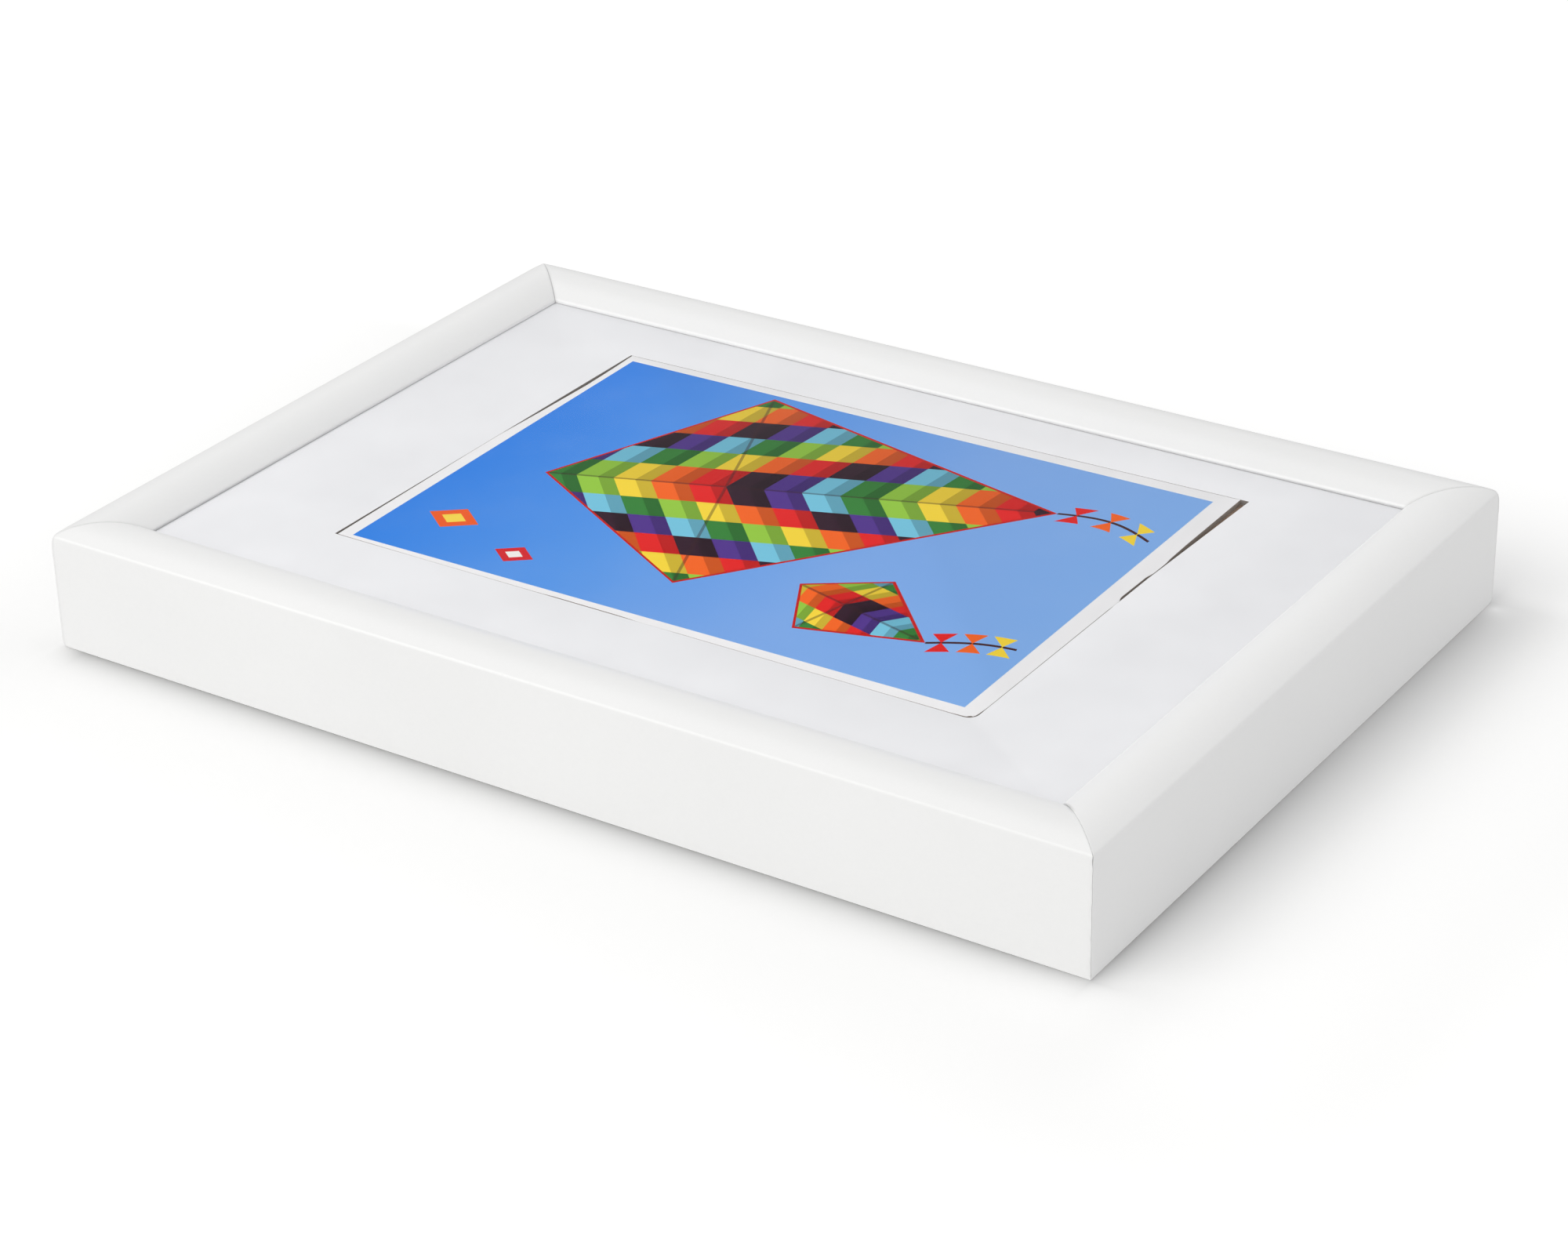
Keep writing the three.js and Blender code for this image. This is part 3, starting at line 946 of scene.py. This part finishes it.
# The card's gaps to the window: places along an edge, and how wide the gap is there
TOP_GAPS = ((-69, 0.8), (-35, 0.35), (-6, 0.02), (8, 0.02), (26, 0.7), (50, 1.25), (64, 0.9), (74, 0.45))
BOTTOM_GAPS = (
    (-68, 0.6), (-62, 0.16), (2, 0.2), (4, 0.05), (7, 0.05), (9, 0.85),
    (23, 0.75), (26, 0.15), (33, 0.13), (36, 0.45), (45, 0.75), (78, 1.15),
)
LEFT_GAPS = (
    (-101, 0.3), (-70, 0.14), (-30, 0.2), (-27, 0.42), (-3, 0.42), (1, 0.1),
    (10, 0.1), (14, 0.2), (40, 0.2), (80, 0.2), (98, 0.3), (104, 0.65),
)
RIGHT_GAPS = ((-101, 0.08), (104, 0.12))


def gap_at(gaps, place):
    """The gap at a place, in straight lines from one known place to the next."""
    before = gaps[0]
    for after in gaps[1:]:
        if place < after[0]:
            share = max(0, place - before[0]) / (after[0] - before[0])
            return before[1] + share * (after[1] - before[1])
        before = after
    return before[1]


def printed_card():
    """The card in the window, cut a little crooked, so that it stands off the window's edges in places."""
    bm = bmesh.new()
    window_shape(bm, 0)
    sides = [edge for edge in bm.edges if edge.calc_length() > WINDOW_BEND * 3]
    bmesh.ops.subdivide_edges(bm, edges=sides, cuts=CARD_STEPS - 1)
    low_x = WINDOW_DOWN - WINDOW_LENGTH / 2
    high_x = WINDOW_DOWN + WINDOW_LENGTH / 2
    low_y = WINDOW_ASIDE - WINDOW_WIDTH / 2
    for vert in bm.verts:
        x = vert.co.x
        y = vert.co.y
        if x < low_x + TOUCH:
            vert.co.x += gap_at(TOP_GAPS, y)
        if x > high_x - WINDOW_BEND / 2:
            vert.co.x -= gap_at(BOTTOM_GAPS, y)
        if y < low_y + WINDOW_BEND / 2:
            vert.co.y += gap_at(LEFT_GAPS, x)
        if y > 0 and low_x + TOUCH < x < high_x - TOUCH:
            vert.co.y -= gap_at(RIGHT_GAPS, x)
    return thicken(bm, CARD_THICKNESS, CARD_ARRIS)


def turn_leaf():
    """A turn button about its pivot: a sheet leaf along +Y with round ends, a hole and a bent finger tip."""
    bm = bmesh.new()
    end = LEAF_REACH + LEAF_TIP
    corners = ((-LEAF_HALF, -LEAF_HALF), (LEAF_HALF, -LEAF_HALF), (LEAF_HALF, end), (-LEAF_HALF, end))
    bm.faces.new([bm.verts.new((*corner, 0)) for corner in corners])
    round_corners(bm, bm.verts[:], LEAF_HALF * 0.98, 8)
    bmesh.ops.create_circle(bm, segments=24, radius=LEAF_HOLE)
    bmesh.ops.delete(bm, geom=bm.faces[:], context="FACES_ONLY")
    bmesh.ops.triangle_fill(bm, edges=bm.edges[:], use_beauty=True)
    for reach in (LEAF_REACH - 1, LEAF_REACH, LEAF_REACH + 1):
        slice_through(bm, (0, reach, 0), (0, 1, 0))
    for vert in bm.verts:
        past = max(0, vert.co.y - LEAF_REACH + 1)
        vert.co.z -= LEAF_TIP_DROP * past**LEAF_CURL / (LEAF_TIP + 1) ** LEAF_CURL
    raise_faces(bm, bm.faces[:], (0, 0, -LEAF_THICKNESS))
    face_outward(bm)
    shift(bm, (0, 0, LEAF_TOP))
    soften(bm, sharp_edges(bm), METAL_ARRIS)
    return bm


def domed_head(radius, height, shank, length):
    """A round head that bulges down from z 0 over a plain shank that stands up from it."""
    bm = bmesh.new()
    edge = bm.verts.new((radius, 0, 0))
    bmesh.ops.spin(bm, geom=[edge], cent=(0, 0, 0), axis=(0, 1, 0), angle=math.pi / 2, steps=8)
    for vert in bm.verts:
        vert.co.z *= height / radius
    bm.verts.ensure_lookup_table()
    before = bm.verts[0]
    for point in ((shank, 0, 0), (shank, 0, length), (0, 0, length)):
        after = bm.verts.new(point)
        bm.edges.new((before, after))
        before = after
    bmesh.ops.spin(
        bm,
        geom=bm.verts[:] + bm.edges[:],
        cent=(0, 0, 0),
        axis=(0, 0, 1),
        angle=2 * math.pi,
        steps=32,
        use_merge=True,
    )
    weld(bm)
    face_outward(bm)
    return bm


def carved(bm, cutter):
    """The shape in bm with the cutter's shape taken out of it."""
    body = add_mesh("temporary", bm)
    tool = add_mesh("temporary", cutter)
    cut = body.modifiers.new("cut", "BOOLEAN")
    cut.operation = "DIFFERENCE"
    cut.solver = "EXACT"
    cut.object = tool
    result = bmesh.new()
    result.from_object(body, bpy.context.evaluated_depsgraph_get())
    for shape in (body, tool):
        mesh = shape.data
        bpy.data.objects.remove(shape)
        bpy.data.meshes.remove(mesh)
    weld(result, 0.002)
    bmesh.ops.dissolve_degenerate(result, edges=result.edges, dist=0.002)
    face_outward(result)
    return result


def button_screw():
    """A screw with the tapered cross of a driver's tip sunk into its head, one blade after the other."""
    screw = domed_head(SCREW_HEAD_RADIUS, SCREW_HEAD_HEIGHT, SCREW_RADIUS, SCREW_LENGTH)
    place = Matrix.Translation((0, 0, -SCREW_HEAD_HEIGHT)) @ Matrix.Diagonal((*CROSS_SIZE, 1))
    for turn in (0, 1):
        blade = bmesh.new()
        bmesh.ops.create_cube(blade, size=1, matrix=quarter_turn(turn) @ place)
        deep = [vert for vert in blade.verts if vert.co.z > -SCREW_HEAD_HEIGHT]
        bmesh.ops.scale(blade, vec=(CROSS_TAPER, CROSS_TAPER, 1), verts=deep)
        cutter = bmesh.new()
        bmesh.ops.convex_hull(cutter, input=[cutter.verts.new(vert.co) for vert in blade.verts])
        blade.free()
        screw = carved(screw, cutter)
    return screw


def bent_wire(corners, bend, radius):
    """A round wire bent along a closed polygon in one plane, with an even bend at each corner."""
    bm = bmesh.new()
    place = (corners[0] + corners[-1]) / 2
    course = (corners[0] - place).normalized()
    facing = course.to_track_quat("Z", "Y").to_matrix().to_4x4()
    bmesh.ops.create_circle(bm, segments=14, radius=radius, matrix=Matrix.Translation(place) @ facing)
    loop = bm.edges[:]

    def draw_out(loop, by):
        made = bmesh.ops.extrude_edge_only(bm, edges=loop)["geom"]
        fresh = set(pick(made, bmesh.types.BMVert))
        shift(bm, by, list(fresh))
        return [edge for edge in pick(made, bmesh.types.BMEdge) if set(edge.verts) <= fresh]

    begin = place
    for i, corner in enumerate(corners):
        onward = (corners[(i + 1) % len(corners)] - corner).normalized()
        turn = course.angle(onward)
        setback = bend * math.tan(turn / 2)
        run = course * ((corner - place).length - setback)
        loop = draw_out(loop, run)
        axis = course.cross(onward).normalized()
        centre = place + run + axis.cross(course) * bend
        last = bmesh.ops.spin(bm, geom=loop, cent=centre, axis=axis, angle=turn, steps=8)["geom_last"]
        loop = pick(last, bmesh.types.BMEdge)
        place = corner + onward * setback
        course = onward
    draw_out(loop, begin - place)
    weld(bm, TOUCH)
    face_outward(bm)
    return bm


def hanger_ring():
    """The ring about the middle of the eye, hanging down in the YZ plane."""
    half = RING_WIRE / 2
    side = math.hypot(RING_HALF, RING_HEIGHT)
    inradius = RING_HALF * RING_HEIGHT / (RING_HALF + side)
    middle = Vector((0, 0, half - inradius))
    outline = ((0, -RING_HALF, half), (0, RING_HALF, half), (0, 0, half - RING_HEIGHT))
    corners = [middle.lerp(Vector(corner), 1 - half / inradius) for corner in outline]
    return bent_wire(corners, RING_BEND, half)


def hanger_strap():
    """The strap about the middle of its eye: flat along +X and rolled into the eye at its end."""
    bm = bmesh.new()
    half = STRAP_WIDTH / 2
    corners = ((-half, EYE_BORE), (half, EYE_BORE), (half, EYE_RADIUS), (-half, EYE_RADIUS))
    end = bm.faces.new([bm.verts.new((STRAP_LENGTH, y, z)) for y, z in corners])
    far = raise_faces(bm, [end], (-STRAP_LENGTH, 0, 0))
    rim = [edge for face in far for edge in face.edges]
    bmesh.ops.delete(bm, geom=far, context="FACES_ONLY")
    bmesh.ops.spin(bm, geom=rim, cent=(0, 0, 0), axis=(0, -1, 0), angle=STRAP_ROLL, steps=28)
    weld(bm)
    bmesh.ops.holes_fill(bm, edges=[edge for edge in bm.edges if len(edge.link_faces) == 1])
    face_outward(bm)
    upright = [edge for edge in bm.edges if all(vert.co.x > STRAP_LENGTH - TOUCH for vert in edge.verts)]
    upright = [edge for edge in upright if abs(edge.verts[0].co.y - edge.verts[1].co.y) < TOUCH]
    soften(bm, upright, STRAP_END_BEND, 8)
    soften(bm, sharp_edges(bm), METAL_ARRIS)
    return bm


# The frame's pieces

SIDES = (
    ("left", OUTER_LENGTH, OUTER_WIDTH / 2, LONG_SPACING, long_plastic, 1),
    ("bottom", OUTER_WIDTH, OUTER_LENGTH / 2, SHORT_SPACING, short_plastic, -1),
    ("right", OUTER_LENGTH, OUTER_WIDTH / 2, LONG_SPACING, long_plastic, 0),
    ("top", OUTER_WIDTH, OUTER_LENGTH / 2, SHORT_SPACING, short_plastic, 0),
)

for quarter, (side, length, span, spacing, plastic, near_end) in enumerate(SIDES):
    bar = placed(moulding_bar(length, span, near_end), quarter_turn(quarter))
    finish_piece(f"{side}_bar", bar, plastic, "frame", "white_plastic", f"moulding_{side}")
    for number, x in ((1, -spacing / 2), (2, spacing / 2)):
        pivot = quarter_turn(quarter) @ Matrix.Translation((x, PIVOT_INSET - span, SHOULDER))
        button = f"turn_button_{side}_{number}"
        leaf = placed(turn_leaf(), pivot)
        finish_piece(f"{side}_leaf_{number}", leaf, zinc_finish, button, "zinc_steel", button)
        # Each screw has come to rest at a turn of its own
        turn = Matrix.Rotation(0.7 * quarter + 0.4 * number, 4, "Z")
        screw = placed(button_screw(), pivot @ (turn @ Matrix.Translation((0, 0, SCREW_HEAD_TOP))))
        node = f"button_screw_{side}_{number}"
        finish_piece(f"{side}_screw_{number}", screw, zinc_finish, "frame", "zinc_steel", node)

finish_piece("pane_sheet", clear_pane(), clear_finish, "frame", "clear_plastic", "clear_pane")
finish_piece("mat_sheet", mat_sheet(), mat_finish, "frame", "mat_board", "mat")
finish_piece("card_sheet", printed_card(), print_finish, "frame", "printed_card", "picture_print")

HANGERS = (
    ("upright", (-136, 0, EYE_HEIGHT), 0),
    ("lengthways", (0, 86, EYE_HEIGHT), -1),
)

for name, eye, quarter in HANGERS:
    place = Matrix.Translation(eye) @ quarter_turn(quarter)
    strap = placed(hanger_strap(), place)
    finish_piece(f"{name}_strap", strap, zinc_finish, "frame", "zinc_steel", f"hanger_{name}_strap")
    ring = placed(hanger_ring(), place)
    finish_piece(f"{name}_wire", ring, zinc_finish, f"{name}_ring", "zinc_steel", f"hanger_{name}_ring")
    for number, x in enumerate(RIVET_PLACES, 1):
        rivet = domed_head(RIVET_HEAD_RADIUS, RIVET_HEAD_HEIGHT, RIVET_RADIUS, RIVET_LENGTH)
        placed(rivet, place @ Matrix.Translation((x, 0, EYE_BORE - RIVET_SINK)))
        node = f"hanger_{name}_rivet_{number}"
        finish_piece(f"{name}_rivet_{number}", rivet, zinc_finish, "frame", "zinc_steel", node)

for name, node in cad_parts.items():
    if name == "back_panel" or name.startswith("corner_nail"):
        node.data.materials.clear()
        node.data.materials.append(board_finish if name == "back_panel" else zinc_finish)


# Floor, light and camera, in metres. Pairs say where something begins and where it is full.

FLOOR_SIZE = 12
FLOOR_UNDER = 0.0012
FLOOR_HEIGHT = -0.00005
FLOOR_CONTACT = 0.003
FLOOR_DARK = 0.012
FLOOR_PALE = 0.11
FLOOR_NEAR_GLOW = 0.032
FLOOR_GLOW = 0.135
FLOOR_TONE = 0.95
CORNER_PINCH = 3
CONTACT_SHADES = (0.45, 0.3)
CONTACT_REACHES = (0.0045, 0.009)
LIT_SIDE = (-0.167, -0.157)
CORNER_GLOWS = (
    ((0.165, -0.115, 0), 0.17, 0.013),
    ((0.1675, 0.1115, 0), 0.22, 0.005),
)
SOFTER_CONTACT = (-0.1, 0.02)
BACK_GLOW = 0.045
BACK_RISE = (0.112, 0.124)
SIDE_GLOW = 0.05
SIDE_RISE = (0.173, 0.197)
SIDE_FALL = (0.205, 0.245)
SIDE_START = (-0.175, -0.125)


def floor_finish():
    """A pale floor, clear from below, with shade at the frame's foot and a glow that only the camera sees."""
    material, surface, place = new_finish("pale_floor")
    tree = material.node_tree
    surface.inputs["Roughness"].default_value = 0.9
    surface.inputs["Specular IOR Level"].default_value = 0.1
    axes = axes_of(place)
    x = axes["X"]
    y = axes["Y"]
    past = []
    for axis, size in ((x, OUTER_LENGTH), (y, OUTER_WIDTH)):
        over = calc("SUBTRACT", calc("ABSOLUTE", axis), size / 2 * MM)
        past.append(calc("MAXIMUM", over, 0.0))
    square = calc("MULTIPLY_ADD", past[0], past[0], times(past[1], past[1]))
    off_corner = times(past[0], past[1])
    away = calc("SQRT", square)
    pinched = calc("SQRT", calc("MULTIPLY_ADD", off_corner, CORNER_PINCH, square))
    to_camera = add_node("LightPath", tree=tree).outputs["Is Camera Ray"]
    reach = spread(y, *SOFTER_CONTACT, *CONTACT_REACHES)
    depth = spread(y, *SOFTER_CONTACT, *CONTACT_SHADES)
    depth = times(depth, spread(x, *LIT_SIDE), to_camera)
    contact = calc("EXPONENT", times(calc("DIVIDE", pinched, reach), -1.0))
    grey = calc("SUBTRACT", FLOOR_TONE, times(contact, depth))
    feed(surface.inputs["Base Color"], add_grey(grey))
    near = spread(away, FLOOR_CONTACT, FLOOR_DARK, 0.0, FLOOR_NEAR_GLOW)
    glow = calc("ADD", near, spread(away, FLOOR_DARK, FLOOR_PALE, 0.0, FLOOR_GLOW))
    for corner, strength, width in CORNER_GLOWS:
        gap = vector_calc("DISTANCE", place, corner)
        faded = calc("EXPONENT", calc("DIVIDE", gap, -width))
        glow = calc("MULTIPLY_ADD", faded, strength, glow)
    beside = times(
        spread(x, *SIDE_RISE, 0.0, SIDE_GLOW, "SMOOTHSTEP"),
        spread(x, *SIDE_FALL, 1.0, 0.0, "SMOOTHSTEP"),
        spread(y, *SIDE_START, kind="SMOOTHSTEP"),
    )
    behind = spread(y, *BACK_RISE, 0.0, BACK_GLOW, "SMOOTHSTEP")
    glow = calc("ADD", glow, calc("ADD", beside, behind))
    surface.inputs["Emission Color"].default_value = (1, 1, 1, 1)
    feed(surface.inputs["Emission Strength"], times(to_camera, glow))
    below = add_node("NewGeometry", tree=tree).outputs["Backfacing"]
    mix_shaders(below, surface, add_node("BsdfTransparent", tree=tree))
    return material


def make_floor():
    """The floor, open under the frame, so that the frame's back is lit too."""
    bm = bmesh.new()
    add_rectangle(bm, FLOOR_SIZE, FLOOR_SIZE)
    add_rectangle(bm, OUTER_LENGTH * MM - FLOOR_UNDER, OUTER_WIDTH * MM - FLOOR_UNDER)
    fill_between(bm)
    shift(bm, (0, 0, FLOOR_HEIGHT))
    face_outward(bm)
    if bm.faces[:][0].normal.z < 0:
        bmesh.ops.reverse_faces(bm, faces=bm.faces)
    floor = add_mesh("floor", bm, floor_finish())


WORLD_LIGHT = 0.69


def make_world():
    world = bpy.data.worlds.new("studio")
    bpy.context.scene.world = world
    world.use_nodes = True
    tree = world.node_tree
    path = add_node("LightPath", tree=tree).outputs
    rays = [path[f"Is {kind} Ray"] for kind in ("Camera", "Glossy", "Transmission")]
    seen = chain("MAXIMUM", *rays)
    background = tree.nodes["Background"]
    background.inputs["Color"].default_value = (1, 1, 1, 1)
    feed(background.inputs["Strength"], spread(seen, 0.0, 1.0, WORLD_LIGHT, 1.0))


WARM_WHITE = (1.0, 0.995, 0.96)
PLAIN_WHITE = (1.0, 1.0, 1.0)
LAMPS = (
    ("front_left_lamp", (-0.45, -0.6, 0.66), 6.8, WARM_WHITE),
    ("front_lamp", (0, -0.8, 0.6), 7.2, WARM_WHITE),
    ("left_lamp", (-0.5, 0.1, 0.86), 4.2, PLAIN_WHITE),
)
LAMP_DISTANCE = 2.2
LAMP_SIZE = 1.4


def aim(thing, place, turn):
    thing.location = place
    thing.rotation_mode = "QUATERNION"
    thing.rotation_quaternion = turn


def make_lamp(name, toward, power, colour):
    data = bpy.data.lights.new(name, "AREA")
    data.shape = "DISK"
    data.size = LAMP_SIZE
    data.energy = power
    data.color = colour
    away = Vector(toward).normalized()
    aim(add_object(name, data), away * LAMP_DISTANCE, away.to_track_quat("Z", "Y"))


CAMERA_PLACE = (0.54092, -0.80381, 0.50568)
CAMERA_HEADING = math.radians(35.132)
CAMERA_DOWN = math.radians(27.565)
CAMERA_ROLL = math.radians(-1.886)
CAMERA_SENSOR = 36
CAMERA_LENS = 89.165
CAMERA_SHIFT = 0.05


def make_camera():
    level = math.cos(CAMERA_DOWN)
    ahead = (-math.sin(CAMERA_HEADING) * level, math.cos(CAMERA_HEADING) * level, -math.sin(CAMERA_DOWN))
    data = bpy.data.cameras.new("camera")
    data.sensor_width = CAMERA_SENSOR
    data.lens = CAMERA_LENS
    data.shift_x = CAMERA_SHIFT
    camera = add_object("camera", data)
    turn = Vector(ahead).to_track_quat("-Z", "Y") @ Quaternion((0, 0, 1), CAMERA_ROLL)
    aim(camera, CAMERA_PLACE, turn)
    bpy.context.scene.camera = camera


make_floor()
make_world()
for lamp in LAMPS:
    make_lamp(*lamp)
make_camera()
bpy.context.scene.view_settings.view_transform = "Standard"
